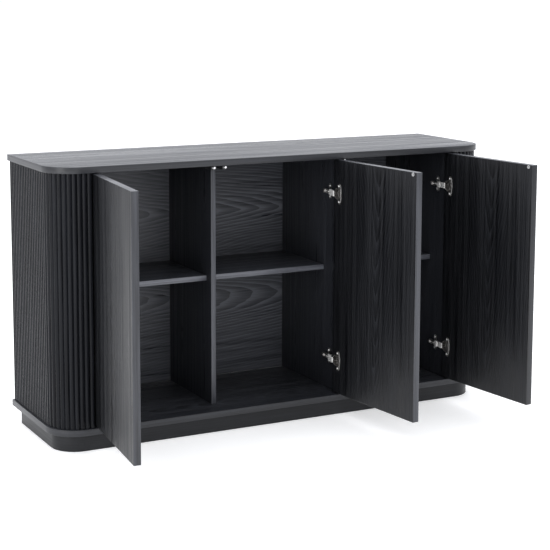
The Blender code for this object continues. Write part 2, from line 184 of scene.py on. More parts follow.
class Nodes:
    """A node tree with short calls. An input takes a value or another node's output."""

    def __init__(self, tree):
        self.tree = tree
        tree.nodes.clear()

    def add(self, kind, inputs=(), **settings):
        node = self.tree.nodes.new(kind)
        for key, value in settings.items():
            setattr(node, key, value)
        for key, value in dict(inputs).items():
            self.set(node.inputs[key], value)
        return node

    def set(self, socket, value):
        if isinstance(value, bpy.types.NodeSocket):
            self.tree.links.new(value, socket)
        else:
            socket.default_value = value

    def math(self, operation, a, b=0.0, clamp=False):
        kind = "ShaderNodeMath"
        return self.add(kind, {0: a, 1: b}, operation=operation, use_clamp=clamp).outputs[0]

    def plus(self, a, b, clamp=False):
        return self.math("ADD", a, b, clamp)

    def less(self, a, b):
        return self.math("SUBTRACT", a, b)

    def times(self, a, b):
        return self.math("MULTIPLY", a, b)

    def swing(self, pattern, amount):
        """A pattern's rise and fall about its middle."""
        return self.times(self.less(pattern, 0.5), amount)

    def on_object(self):
        return self.add("ShaderNodeTexCoord").outputs["Object"]

    def noise(self, vector, scale, detail=3.0, roughness=0.55):
        inputs = {"Vector": vector, "Scale": scale, "Detail": detail, "Roughness": roughness}
        return self.add("ShaderNodeTexNoise", inputs).outputs["Fac"]

    def stretched(self, vector, scale):
        """The same place in a pattern that is drawn out or pressed together along each axis."""
        return self.add("ShaderNodeMapping", {"Vector": vector, "Scale": scale}).outputs[0]

    def ramp(self, tone, low, high, high_at=1.0):
        """A colour between two, by tone."""
        node = self.add("ShaderNodeValToRGB", {0: tone})
        first, last = node.color_ramp.elements
        first.color = (*low, 1)
        last.color = (*high, 1)
        last.position = high_at
        return node.outputs[0]

    def bump(self, shader, height, strength, distance):
        inputs = {"Strength": strength, "Distance": distance, "Height": height}
        self.set(shader.inputs["Normal"], self.add("ShaderNodeBump", inputs).outputs[0])


def new_material(name):
    material = bpy.data.materials.new(name)
    material.use_nodes = True
    nodes = Nodes(material.node_tree)
    shader = nodes.add("ShaderNodeBsdfPrincipled")
    nodes.add("ShaderNodeOutputMaterial", {"Surface": shader.outputs[0]})
    return material, nodes, shader


# ---- Finishes


def board_place(nodes, origin, across, along):
    """Coordinates in a board's own frame: X across the grain, Y through the board, Z along the grain."""
    across, along = Vector(across), Vector(along)
    turn = Matrix((across, along.cross(across), along))
    inputs = {
        "Vector": nodes.on_object(),
        "Location": turn @ -Vector(origin),
        "Rotation": turn.to_euler(),
    }
    return nodes.add("ShaderNodeMapping", inputs).outputs[0]


def oak(
    name,
    origin,
    across,
    along,
    heart=0.09,
    leaf=0.32,
    figure=1.0,
    streaks=1.0,
    gloss=0.42,
    light=1.0,
    shine=0.5,
):
    """Black stained oak veneer. Its leaves are as wide as leaf says, each with its arches on its own heart
    line, and every second leaf is turned over, so that the joints match."""
    material, nodes, shader = new_material(name)
    place = board_place(nodes, origin, across, along)
    drift = nodes.noise(nodes.stretched(place, (5, 5, 1.1)), 1.0, 2.0)
    fine_drift = nodes.noise(nodes.stretched(place, (26, 26, 3.5)), 1.0, 2.0)
    parts = nodes.add("ShaderNodeSeparateXYZ", {0: place}).outputs
    leaf_place = nodes.math("PINGPONG", parts[0], leaf)
    off_heart = nodes.plus(nodes.less(leaf_place, heart), nodes.swing(drift, HEART_DRIFT))
    # Growth rings, as cones about the heart line that the cut passes at a small depth
    ring_r = nodes.math("SQRT", nodes.plus(nodes.times(off_heart, off_heart), CUT_DEPTH_SQUARED))
    ring_r = nodes.less(ring_r, nodes.times(parts[2], RING_TAPER))
    ring_r = nodes.plus(ring_r, nodes.times(fine_drift, RING_RIPPLE))
    ring = nodes.math("FRACT", nodes.times(ring_r, RINGS_PER_METRE))
    early = nodes.math("POWER", nodes.less(1.0, ring), EARLY_WOOD_FALL)
    # The arches fade away from the heart line, where the grain runs straight.
    reach = nodes.times(nodes.math("ABSOLUTE", off_heart), ARCH_FADE)
    early = nodes.times(early, nodes.less(1.0, nodes.math("MINIMUM", reach, ARCH_FADE_MOST)))
    fibre = nodes.noise(nodes.stretched(place, (520, 520, 14)), 1.0, 3.0, 0.6)
    streak = nodes.noise(nodes.stretched(place, (130, 130, 2.2)), 1.0, 4.0, 0.65)
    wide = nodes.noise(nodes.stretched(place, (62, 62, 1.1)), 1.0, 3.0, 0.7)
    cloud = nodes.noise(nodes.stretched(place, (8, 8, 1.3)), 1.0, 2.0)
    pores = nodes.times(early, nodes.times(fibre, 2.0))
    tone = nodes.times(pores, 0.7 * figure)
    for pattern, amount in ((fibre, 0.9), (streak, 1.3), (wide, 1.0), (cloud, 0.5)):
        tone = nodes.plus(tone, nodes.swing(pattern, amount * streaks))
    tone = nodes.plus(tone, OAK_TONE, clamp=True)
    stain(nodes, shader, tone, light)
    rough = nodes.plus(nodes.swing(streak, 0.5), gloss)
    rough = nodes.plus(rough, nodes.swing(wide, 0.9))
    rough = nodes.plus(rough, nodes.times(early, 0.12))
    nodes.set(shader.inputs["Roughness"], rough)
    shader.inputs["Specular IOR Level"].default_value = shine
    height = nodes.plus(nodes.times(early, 0.6), nodes.times(streak, 1.2))
    height = nodes.plus(height, nodes.times(wide, 2.5))
    nodes.bump(shader, height, 0.6, 0.8 * MM)
    return material


def stain(nodes, shader, tone, light):
    """Black stain that lies thinner where the tone is high. It is a little blue, and less so where it is
    light. Light is painted light: it scales the whole colour, so that the one stain comes in lit and shaded
    copies, lighter or darker by how much light each surface gets."""
    cool = 1 / max(light, 1.0)
    # Both ends of the ramp are scaled by light, the painted light of each finish.
    deep = [light * c for c in (0.0072, 0.0077, 0.0098)]
    thin = [light * c for c in (0.052, 0.053 + 0.003 * cool, 0.057 + 0.011 * cool)]
    nodes.set(shader.inputs["Base Color"], nodes.ramp(tone, deep, thin))


def straight_oak(name, grain, gloss=0.42, light=1.0, shine=0.5):
    """Black stained oak with straight grain, for edging and for parts that bend. Grain is the pattern's
    scale along X, Y and Z, which is low along the fibres."""
    material, nodes, shader = new_material(name)
    place = nodes.on_object()
    streak = nodes.noise(nodes.stretched(place, grain), 1.0, 4.0, 0.65)
    fibre = nodes.noise(nodes.stretched(place, [g * 3.2 for g in grain]), 1.0, 3.0, 0.6)
    cloud = nodes.noise(nodes.stretched(place, [0.06 * g + 1 for g in grain]), 1.0, 2.0)
    tone = STRAIGHT_TONE
    for pattern, amount in ((fibre, 0.8), (streak, 1.3), (cloud, 0.5)):
        tone = nodes.plus(nodes.swing(pattern, amount), tone)
    stain(nodes, shader, nodes.plus(tone, 0.0, clamp=True), light)
    nodes.set(shader.inputs["Roughness"], nodes.plus(nodes.swing(streak, 0.4), gloss))
    shader.inputs["Specular IOR Level"].default_value = shine
    nodes.bump(shader, streak, 0.4, 0.4 * MM)
    return material


def brushed_metal(name, colour, roughness, metallic=1.0):
    """Plated steel with faint rub marks and an uneven sheen. A finish can be given as less metallic; the
    bright nickel is, and its near-white diffuse colour is a painted highlight.
    """
    material, nodes, shader = new_material(name)
    place = nodes.on_object()
    cloud = nodes.noise(place, 160.0, 3.0)
    rub = nodes.noise(nodes.stretched(place, (900, 900, 5200)), 1.0, 2.0)
    tone = nodes.plus(nodes.times(cloud, 0.35), nodes.times(rub, 0.25), clamp=True)
    dull = [0.78 * c for c in colour]
    nodes.set(shader.inputs["Base Color"], nodes.ramp(tone, dull, colour, 0.6))
    shader.inputs["Metallic"].default_value = metallic
    rough = nodes.plus(nodes.times(cloud, 0.14), roughness - 0.07)
    nodes.set(shader.inputs["Roughness"], rough)
    nodes.bump(shader, rub, 0.12, 0.05 * MM)
    return material


def moulded_plastic(name):
    """Black plastic with a fine spark-eroded grain."""
    material, nodes, shader = new_material(name)
    place = nodes.on_object()
    grain = nodes.noise(place, 2600.0, 2.0)
    cloud = nodes.noise(place, 90.0, 2.0)
    colour = nodes.ramp(cloud, (0.010, 0.010, 0.011), (0.022, 0.022, 0.024))
    nodes.set(shader.inputs["Base Color"], colour)
    nodes.set(shader.inputs["Roughness"], nodes.plus(nodes.times(grain, 0.15), 0.36))
    nodes.bump(shader, grain, 0.3, 0.1 * MM)
    return material


# ---- Meshes


def prism(outline, low, high):
    """The closed solid between two levels over an outline in plan."""
    bm = bmesh.new()
    floor = bm.faces.new([bm.verts.new((x, y, low)) for x, y in outline])
    raised = bmesh.ops.extrude_face_region(bm, geom=[floor])["geom"]
    corners = [v for v in raised if isinstance(v, bmesh.types.BMVert)]
    bmesh.ops.translate(bm, vec=(0, 0, high - low), verts=corners)
    bmesh.ops.recalc_face_normals(bm, faces=bm.faces)
    return bm


def block(low, high):
    low, high = Vector(low), Vector(high)
    bm = bmesh.new()
    size = Matrix.Diagonal((*(high - low), 1))
    bmesh.ops.create_cube(bm, size=1, matrix=Matrix.Translation((low + high) / 2) @ size)
    return bm


def turned(profile, steps=48):
    """The closed solid that a profile of (radius, height) points makes when it turns about Z."""
    bm = bmesh.new()
    line = [bm.verts.new((r, 0, z)) for r, z in profile]
    edges = [bm.edges.new(pair) for pair in zip(line, line[1:])]
    bmesh.ops.spin(
        bm, geom=line + edges, cent=(0, 0, 0), axis=(0, 0, 1), angle=math.tau, steps=steps
    )
    bmesh.ops.remove_doubles(bm, verts=bm.verts, dist=SAME_PLACE)
    bmesh.ops.recalc_face_normals(bm, faces=bm.faces)
    return bm


def rod(radius, low, high, steps=48):
    return turned([(0, low), (radius, low), (radius, high), (0, high)], steps)


def ease(bm, width, segments=3, angle=50):
    """Rounds every edge that is sharper than the angle."""
    least = math.radians(angle)
    edges = [e for e in bm.edges if len(e.link_faces) == 2 and e.calc_face_angle() > least]
    bmesh.ops.bevel(bm, geom=edges, offset=width, segments=segments, profile=0.5, affect="EDGES")
    return bm


def joined(*parts):
    """Several loose solids as one mesh."""
    whole = bmesh.new()
    for part in parts:
        mesh = mesh_of("part", part)
        whole.from_mesh(mesh)
        bpy.data.meshes.remove(mesh)
    return whole


def mesh_of(name, bm):
    """A mesh from a loose solid, which is used up."""
    mesh = bpy.data.meshes.new(name)
    bm.to_mesh(mesh)
    bm.free()
    return mesh


def new_object(name, data):
    obj = bpy.data.objects.new(name, data)
    bpy.context.scene.collection.objects.link(obj)
    return obj


def piece(name, bm, material, body, replaces=(), sharp=BOARD_SHARP):
    return mesh_piece(name, mesh_of(name, bm), material, body, replaces, sharp)


def mesh_piece(name, mesh, material, body, replaces=(), sharp=BOARD_SHARP):
    """A finished piece that moves with a body and stands in for the CAD nodes it replaces."""
    mesh.shade_smooth()
    mesh.set_sharp_from_angle(angle=math.radians(sharp))
    if material and not mesh.materials:
        mesh.materials.append(material)
    obj = new_object(name, mesh)
    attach(obj, body)
    if replaces:
        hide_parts(*replaces)
    return obj


def arc(centre, radius, start, end, steps):
    """Points on an arc in plan, from one angle to another in degrees, both ends included."""
    angles = (math.radians(start + (end - start) * i / steps) for i in range(steps + 1))
    return [(centre[0] + radius * math.cos(a), centre[1] + radius * math.sin(a)) for a in angles]


# ---- Boards


def board_outline(low, high, inset=0.0, steps=40):
    """Square at the rear and rounded at the front."""
    radius = CORNER_R - inset
    left = arc((low.x + radius, low.y + radius), radius, 180, 270, steps)
    right = arc((high.x - radius, low.y + radius), radius, 270, 360, steps)
    return [(low.x, high.y), *left, *right, (high.x, high.y)]


def make_boards():
    """The top and the base, with a rim of straight grain."""
    for name, node, material in (
        ("rounded_top", "top_board", FINISH["top"]),
        ("rounded_base", "base_board", FINISH["base"]),
    ):
        low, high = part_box(node)
        bm = ease(prism(board_outline(low, high), low.z, high.z), BOARD_EASE)
        bm = band(bm, lambda normal: abs(normal.z) < LEVEL_FACING)
        obj = piece(name, bm, material, CARCASS, [node])
        obj.data.materials.append(FINISH["rim"])


def band(bm, edged, index=1):
    """Gives another finish to the faces whose direction passes the test, where the edging strip is. Where
    that finish is lighter or darker than the face, this is painted light.
    """
    bm.normal_update()
    for face in bm.faces:
        if edged(face.normal):
            face.material_index = index
    return bm


def make_panels():
    """Upright panels and shelves with an edging strip in front, and the back panel with a plain outside. The
    edging's straight grain is real, and its much lighter colour is a painted highlight along the front edges.
    """

    def front(normal):
        return normal.y < -EDGE_FACING

    for node in UPRIGHTS:
        bm = band(ease(block(*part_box(node)), PANEL_EASE), front)
        obj = piece(f"{node}_board", bm, FINISH["panels"], CARCASS, [node])
        obj.data.materials.append(FINISH["upright edging"])
    for node in SHELVES:
        bm = band(ease(block(*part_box(node)), PANEL_EASE), front)
        obj = piece(f"{node}_board", bm, FINISH["shelves"], CARCASS, [node])
        obj.data.materials.append(FINISH["level edging"])
    bm = band(ease(block(*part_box("back_panel")), PANEL_EASE / 2), lambda normal: normal.y > -EDGE_FACING)
    obj = piece("back_panel_board", bm, FINISH["back"], CARCASS, ["back_panel"])
    obj.data.materials.append(FINISH["back outside"])


def make_plinth():
    """One rail that bows round both front corners, under the base."""
    low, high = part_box("plinth_front")
    side_low, side_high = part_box("plinth_left")
    wall = side_high.x - side_low.x
    inset = low.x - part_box("base_board")[0].x
    outer = board_outline(low, high, inset)[1:-1]
    inner_low = Vector((low.x + wall, low.y + wall, 0))
    inner_high = Vector((high.x - wall, high.y, 0))
    inner = board_outline(inner_low, inner_high, inset + wall)[1:-1]
    bm = ease(prism(outer + inner[::-1], low.z, high.z), PANEL_EASE)
    piece("bowed_plinth_front", bm, FINISH["plinth"], CARCASS, ["plinth_front"])


# ---- Reeded ends


def cladding_spans():
    """How far the crowns' line on the right end runs along the front, round the corner and along the side."""
    low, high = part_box("top_board")
    start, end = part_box("right_reeded_cladding")
    front = high.x - CORNER_R - start.x
    bend = (CORNER_R - REED_INSET) * math.pi / 2
    side = end.y - low.y - CORNER_R
    return front, bend, side


def cladding_line(inset, start, end, count):
    """Points round the right end at one depth inside the board outline. Start and end are places along
    the crowns' line."""
    low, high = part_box("top_board")
    front_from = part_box("right_reeded_cladding")[0].x
    front, bend, _ = cladding_spans()
    radius = CORNER_R - inset
    points = []
    for i in range(count + 1):
        along = start + (end - start) * i / count
        if along < front:
            points.append((front_from + along, low.y + inset))
        elif along > front + bend:
            points.append((high.x - inset, low.y + CORNER_R + along - front - bend))
        else:
            angle = (along - front) / (CORNER_R - REED_INSET)
            x = high.x - CORNER_R + radius * math.sin(angle)
            points.append((x, low.y + CORNER_R - radius * math.cos(angle)))
    return points


def reed_tree():
    """Half-round reeds that stand side by side along a line, with their backs to its left."""
    tree = bpy.data.node_groups.new("Half round reeds", "GeometryNodeTree")
    face = tree.interface
    face.new_socket("Lines", in_out="INPUT", socket_type="NodeSocketGeometry")
    for name, kind in (
        ("Reeds per Line", "NodeSocketInt"),
        ("Reed Width", "NodeSocketFloat"),
        ("Reed Depth", "NodeSocketFloat"),
        ("Foot", "NodeSocketFloat"),
        ("Height", "NodeSocketFloat"),
        ("Material", "NodeSocketMaterial"),
    ):
        face.new_socket(name, in_out="INPUT", socket_type=kind)
    face.new_socket("Reeds", in_out="OUTPUT", socket_type="NodeSocketGeometry")
    nodes = Nodes(tree)
    given = nodes.add("NodeGroupInput").outputs
    half_round = nodes.add(
        "GeometryNodeCurveArc",
        {
            "Resolution": 17,
            "Radius": 1.0,
            "Start Angle": math.pi,
            "Sweep Angle": math.pi,
            "Connect Center": True,
        },
        mode="RADIUS",
    ).outputs["Curve"]
    size = nodes.add(
        "ShaderNodeCombineXYZ",
        {"X": nodes.math("DIVIDE", given["Reed Width"], 2.0), "Y": given["Reed Depth"], "Z": 1.0},
    ).outputs[0]
    section = nodes.add("GeometryNodeTransform", {"Geometry": half_round, "Scale": size}).outputs[0]
    foot = nodes.add("GeometryNodeFillCurve", {"Curve": section}).outputs[0]
    rise = nodes.add("ShaderNodeCombineXYZ", {"Z": given["Height"]}).outputs[0]
    inputs = {"Mesh": foot, "Offset": rise, "Individual": False}
    body = nodes.add("GeometryNodeExtrudeMesh", inputs).outputs[0]
    underside = nodes.add("GeometryNodeFlipFaces", {"Mesh": foot}).outputs[0]
    both = nodes.add("GeometryNodeJoinGeometry", {0: body})
    nodes.set(both.inputs[0], underside)
    inputs = {0: both.outputs[0], "Distance": SAME_PLACE}
    closed = nodes.add("GeometryNodeMergeByDistance", inputs).outputs[0]
    seat = nodes.add("ShaderNodeCombineXYZ", {"Y": given["Reed Depth"], "Z": given["Foot"]}).outputs[0]
    reed = nodes.add("GeometryNodeTransform", {"Geometry": closed, "Translation": seat}).outputs[0]
    inputs = {"Curve": given["Lines"], "Count": given["Reeds per Line"]}
    stops = nodes.add("GeometryNodeResampleCurve", inputs)
    tangent = nodes.add("GeometryNodeInputTangent").outputs[0]
    turn = nodes.add(
        "FunctionNodeAlignRotationToVector", {"Vector": tangent}, axis="X", pivot_axis="Z"
    ).outputs[0]
    row = nodes.add(
        "GeometryNodeInstanceOnPoints", {"Points": stops.outputs[0], "Instance": reed, "Rotation": turn}
    ).outputs[0]
    solid = nodes.add("GeometryNodeRealizeInstances", {0: row}).outputs[0]
    inputs = {"Geometry": solid, "Material": given["Material"]}
    dressed = nodes.add("GeometryNodeSetMaterial", inputs).outputs[0]
    nodes.add("NodeGroupOutput", {0: dressed})
    return tree


def apply_tree(obj, tree, values):
    """The plain mesh that a tree makes of an object, with the tree's named inputs set."""
    modifier = obj.modifiers.new(tree.name, "NODES")
    modifier.node_group = tree
    for item in tree.interface.items_tree:
        if item.in_out == "INPUT" and item.name in values:
            modifier[item.identifier] = values[item.name]
    graph = bpy.context.evaluated_depsgraph_get()
    mesh = bpy.data.meshes.new_from_object(
        obj.evaluated_get(graph), preserve_all_data_layers=True, depsgraph=graph
    )
    bpy.data.objects.remove(obj)
    return mesh


def line_object(name, lines):
    """Open polylines in plan, as one curve object."""
    curve = bpy.data.curves.new(name, "CURVE")
    curve.dimensions = "3D"
    for points in lines:
        spline = curve.splines.new("POLY")
        spline.points.add(len(points) - 1)
        for point, (x, y) in zip(spline.points, points):
            point.co = (x, y, 0, 1)
    return new_object(name, curve)


def make_reeds():
    """The reeds of both ends as one mesh, and a backing behind each row."""
    length = sum(cladding_spans())
    count = round(length / REED_PITCH)
    half = length / count / 2
    low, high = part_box("right_reeded_cladding")
    crowns = cladding_line(REED_INSET, half, length - half, count * 12)
    mirrored = [(-x, y) for x, y in crowns[::-1]]
    values = {
        "Reeds per Line": count,
        "Reed Width": REED_W,
        "Reed Depth": REED_DEPTH,
        "Foot": low.z,
        "Height": high.z - low.z,
        "Material": FINISH["reeds"],
    }
    mesh = apply_tree(line_object("reed crowns", [crowns, mirrored]), reed_tree(), values)
    nodes = ["left_reeded_cladding", "right_reeded_cladding"]
    mesh_piece("half_round_reeds", mesh, None, CARCASS, nodes, REED_SHARP)
    outer = cladding_line(REED_INSET + REED_DEPTH - BACKING_LAP, 0, length, count * 4)
    inner = cladding_line(REED_INSET + CLADDING_T, 0, length, count * 4)
    for side, sign in (("left", -1), ("right", 1)):
        outline = [(sign * x, y) for x, y in outer + inner[::-1]]
        bm = prism(outline, low.z, high.z)
        piece(f"{side}_reed_backing", bm, FINISH["reeds"], CARCASS)


# ---- Doors. Each is drawn closed, from its hinge axis, with its free edge along +X, and then set open.


class Door:
    """One door's own frame. X runs from the hinge axis to the free edge, and Y to the back."""

    def __init__(self, which):
        self.name = which
        self.body = f"{which}_door"
        joint = next(j for j in frame["joints"] if j["name"] == f"{which}_door_hinge")
        x, y, _ = joint["pos_m"]
        self.sign = joint["axis"][2]
        swing = math.radians(joint["range_deg"][1])
        side = Matrix.Diagonal((self.sign, 1, 1, 1))
        self.shut = Matrix.Translation((x, y, 0)) @ side
        turn = Matrix.Rotation(-self.sign * swing, 4, "Z")
        self.open = Matrix.Translation((x, y, 0)) @ turn @ side

    def box(self, node, moving=True):
        """A CAD node's lowest and highest corner in the door's frame."""
        back = (self.open if moving else self.shut).inverted()
        corners = [back @ v.co for v in frame["nodes"][node].data.vertices]
        low = Vector(min(c[i] for c in corners) for i in range(3))
        high = Vector(max(c[i] for c in corners) for i in range(3))
        return low, high

    def place(self, bm, moving=True):
        """Moves a mesh from the door's frame to the whole object's."""
        matrix = self.open if moving else self.shut
        bm.transform(matrix)
        if matrix.determinant() < 0:
            bmesh.ops.reverse_faces(bm, faces=bm.faces)
        return bm


def cut(bm, cutters):
    """One solid less the others."""
    obj = new_object("blank", mesh_of("blank", bm))
    tools = [new_object("tool", mesh_of("tool", tool)) for tool in cutters]
    for tool in tools:
        modifier = obj.modifiers.new("Cut", "BOOLEAN")
        modifier.operation = "DIFFERENCE"
        modifier.solver = "EXACT"
        modifier.object = tool
    graph = bpy.context.evaluated_depsgraph_get()
    mesh = bpy.data.meshes.new_from_object(obj.evaluated_get(graph))
    for each in (obj, *tools):
        bpy.data.objects.remove(each)
    result = bmesh.new()
    result.from_mesh(mesh)
    bpy.data.meshes.remove(mesh)
    return result


def make_door(door):
    """A leaf with a bore for each cup, and edging on its long edges and on its ends. The edging is painted
    lighter than the face, a painted highlight on the door's edges.
    """
    node = f"{door.name}_door"
    low, high = door.box(node)
    panel = ease(block(low, high), BOARD_EASE)
    bores = []
    for level in LEVELS:
        cup_floor = door.box(f"{node}_{level}_hinge_cup")[0].y
        bore = rod(cup_radius(door, level) + CUP_GAP, cup_floor - CUP_GAP, high.y + MM)
        bores.append(stand(bore, hinge_centre(door, level)))
    panel = cut(panel, bores)
    band(panel, lambda normal: abs(normal.x) > EDGE_FACING)
    band(panel, lambda normal: abs(normal.z) > EDGE_FACING, 2)
    obj = piece(f"{node}_leaf", door.place(panel), FINISH[node], door.body, [node])
    obj.data.materials.append(FINISH[f"{node} side"])
    obj.data.materials.append(FINISH["door end with painted highlight"])


def stand(bm, centre):
    """Turns a shape from its own Z axis to the door's Y axis, at a centre in the door's frame."""
    turn = Matrix.Rotation(-math.pi / 2, 4, "X")
    bm.transform(Matrix.Translation((centre.x, 0, centre.z)) @ turn)
    return bm


def hinge_centre(door, level):
    low, high = door.box(f"{door.name}_door_{level}_hinge_cup")
    return Vector((low.x + cup_radius(door, level), 0, (low.z + high.z) / 2))


def cup_radius(door, level):
    """Half the width of the cup's floor, because the flange reaches past the cup on one side."""
    node = frame["nodes"][f"{door.name}_door_{level}_hinge_cup"]
    back = door.open.inverted()
    points = [back @ v.co for v in node.data.vertices]
    deepest = min(p.y for p in points)
    floor = [p.x for p in points if p.y < deepest + 0.1 * MM]
    return (max(floor) - min(floor)) / 2


def level_outline(points, low, high):
    """A solid over an outline in X and Z, from one depth to another, in the door's frame."""
    bm = prism([(x, -z) for x, z in points], low, high)
    bm.transform(Matrix.Rotation(-math.pi / 2, 4, "X"))
    return bm


def bead(points, radius, level, sides=12):
    """A round bead along a line in X and Z, at one depth in the door's frame."""
    bm = bmesh.new()
    rings = []
    for i, (x, z) in enumerate(points):
        before, after = points[max(i - 1, 0)], points[min(i + 1, len(points) - 1)]
        along = Vector((after[0] - before[0], 0, after[1] - before[1])).normalized()
        out = Vector((along.z, 0, -along.x))
        ring = []
        for k in range(sides):
            angle = math.tau * k / sides
            offset = out * math.cos(angle) + Vector((0, 1, 0)) * math.sin(angle)
            ring.append(bm.verts.new(Vector((x, level, z)) + offset * radius))
        rings.append(ring)
    for one, other in zip(rings, rings[1:]):
        for k in range(sides):
            bm.faces.new((one[k - 1], one[k], other[k], other[k - 1]))
    bm.faces.new(rings[0])
    bm.faces.new(rings[-1][::-1])
    bmesh.ops.recalc_face_normals(bm, faces=bm.faces)
    return bm


def make_cup(door, level):
    """A pressed cup, its flange with a round ear at each end and a rolled rim, and the pin that the arm
    turns on."""
    node = f"{door.name}_door_{level}_hinge_cup"
    low, high = door.box(node)
    centre, radius = hinge_centre(door, level), cup_radius(door, level)
    inner_face = door.box(f"{door.name}_door")[1].y
    bowl = turned(
        [
            (0, low.y),
            (radius - CUP_FOOT_R, low.y),
            (radius, low.y + CUP_FOOT_R),
            (radius, high.y - CUP_RIM),
            (radius - CUP_RIM, high.y),
            (radius - CUP_WALL, high.y - CUP_RIM),
            (radius - CUP_WALL, low.y + 2 * CUP_WALL),
            (radius - 2 * CUP_WALL, low.y + CUP_WALL),
            (0, low.y + CUP_WALL),
        ]
    )
    bowl = stand(bowl, centre)
    ear_x = centre.x + FLANGE_EAR_OUT
    ear_z = (high.z - low.z) / 2 - FLANGE_EAR_R
    sweep = math.degrees(math.asin(ear_z / FLANGE_SWEEP_R))
    bow_centre = (high.x - FLANGE_SWEEP_R, 0)
    bow = arc(bow_centre, FLANGE_SWEEP_R, -sweep, sweep, 24)
    upper = arc((ear_x, ear_z), FLANGE_EAR_R, 20, 180, 12)
    lower = arc((ear_x, -ear_z), FLANGE_EAR_R, 180, 340, 12)
    outline = [(x, centre.z + z) for x, z in [*bow, *upper, *lower]]
    flange = level_outline(outline, inner_face + CUP_GAP, high.y - 0.2 * MM)
    mouth = rod(FLANGE_MOUTH_R, low.y, high.y + MM)
    flange = ease(cut(flange, [stand(mouth, centre)]), 0.3 * MM, 2)
    reach = sweep * BEAD_REACH
    rolled = arc(bow_centre, FLANGE_SWEEP_R - BEAD_R, -reach, reach, 24)
    rolled = bead([(x, centre.z + z) for x, z in rolled], BEAD_R, high.y - BEAD_R - 0.05 * MM)
    pin = rod(PIN_R, -PIN_HALF, PIN_HALF, 20)
    pin.transform(Matrix.Translation((0, 0, centre.z)))
    name = f"{door.name}_{level}_hinge"
    # The bowl and the flange take the darker nickel, painted shade for the cup's hollow.
    piece(f"{name}_bowl", door.place(bowl), FINISH["cup"], door.body, [node], METAL_SHARP)
    whole = door.place(joined(flange, pin))
    piece(f"{name}_flange", whole, FINISH["cup"], door.body, (), METAL_SHARP)
    # The rolled rim's bright nickel is a painted highlight along the flange's edge.
    piece(f"{name}_rim", door.place(rolled), FINISH["satin"], door.body, (), METAL_SHARP)


def make_arm(door, level):
    """A gooseneck arm of folded steel with a rail on each side, a damper's housing, a clip at the end and
    two setting screws."""
    node = f"{door.name}_door_{level}_hinge_arm"
    bm = bmesh.new()
    bm.from_mesh(frame["nodes"][node].data)
    bmesh.ops.remove_doubles(bm, verts=bm.verts, dist=SAME_PLACE)
    bmesh.ops.dissolve_limit(bm, angle_limit=math.radians(1), verts=bm.verts, edges=bm.edges)
    ease(bm, ARM_EASE, 3, 40)
    low, high = door.box(node, moving=False)
    middle = (low.z + high.z) / 2
    foot = door.box(f"{door.name}_door_{level}_hinge_plate", moving=False)[1].x
    top = foot + ARM_RISE
    start, end = high.y - ARM_L, high.y
    rails = []
    for side in (-1, 1):
        z = middle + side * (high.z - low.z) / 2
        rail = block(
            (foot + 0.4 * MM, start, z - RAIL_HALF),
            (top + RAIL_HALF, end - 2 * MM, z + RAIL_HALF),
        )
        rails.append(ease(rail, 0.4 * MM, 2))
    clip = block(
        (top - MM, end - CLIP_L, middle - CLIP_HALF),
        (top + CLIP_RISE, end, middle + CLIP_HALF),
    )
    neck = block(
        (high.x - 2.7 * MM, low.y + 0.4 * MM, middle - HOUSING_H / 2),
        (high.x + 0.7 * MM, low.y + NECK_L, middle + HOUSING_H / 2),
    )
    front = low.y + HOUSING_FROM_FRONT
    housing = block(
        (top - 2 * MM, front, middle - HOUSING_H / 2),
        (top + HOUSING_RISE, front + HOUSING_L, middle + HOUSING_H / 2),
    )
    extra = door.place(joined(*rails, ease(clip, 0.9 * MM)), moving=False)
    soft = joined(*(ease(part, 1.2 * MM, 4) for part in (neck, housing)))
    soft = door.place(soft, moving=False)
    name = f"{door.name}_{level}_hinge"
    whole = joined(bm, extra)
    piece(f"{name}_gooseneck", whole, FINISH["nickel"], CARCASS, [node], METAL_SHARP)
    # The damper's housing takes the bright nickel, a painted highlight.
    piece(f"{name}_damper", soft, FINISH["satin"], CARCASS, (), METAL_SHARP)
    for along, size in ARM_SCREWS:
        spot = door.shut @ Vector((top - 0.1 * MM, start + along, middle))
        SCREWS[CARCASS].append((spot, Vector((door.sign, 0, 0)), size))


def make_plate(door, level):
    """The plate's rail, and its wings with a round end on each screw."""
    node = f"{door.name}_door_{level}_hinge_plate"
    low, high = door.box(node, moving=False)
    arm_low, arm_high = door.box(f"{door.name}_door_{level}_hinge_arm", moving=False)
    rail = ease(block((low.x, low.y, arm_low.z), (high.x, high.y, arm_high.z)), 0.6 * MM, 2)
    middle = (low.z + high.z) / 2
    line = low.y + WING_FROM_FRONT
    half = (high.z - low.z) / 2 - PLATE_END_R
    outline = [
        *arc((line, middle + half), PLATE_END_R, 0, 180, 14),
        *arc((line, middle - half), PLATE_END_R, 180, 360, 14),
    ]
    wing = prism(outline, 0, WING_T)
    # The outline's X and Y become the frame's Y and Z, and its thickness stands on the panel.
    wing.transform(Matrix(((0, 0, 1, low.x), (1, 0, 0, 0), (0, 1, 0, 0), (0, 0, 0, 1))))
    bmesh.ops.recalc_face_normals(wing, faces=wing.faces)
    whole = door.place(joined(rail, ease(wing, 0.35 * MM, 2)), moving=False)
    name = f"{door.name}_{level}_hinge_wing_plate"
    piece(name, whole, FINISH["nickel"], CARCASS, [node], METAL_SHARP)
    for side in (-1, 1):
        place = (low.x + WING_T - 0.1 * MM, line, middle + side * PLATE_SCREWS)
        SCREWS[CARCASS].append((door.shut @ Vector(place), Vector((door.sign, 0, 0)), 1.1))


def make_flange_screws(door, level):
    """The two screws that hold the cup's flange."""
    face = door.box(f"{door.name}_door_{level}_hinge_cup")[1].y
    centre = hinge_centre(door, level)
    facing = door.open.to_3x3() @ Vector((0, 1, 0))
    for side in (-1, 1):
        place = (centre.x + FLANGE_SCREWS_OUT, face - 0.35 * MM, centre.z + side * FLANGE_SCREWS)
        SCREWS[door.body].append((door.open @ Vector(place), facing, 1.0))


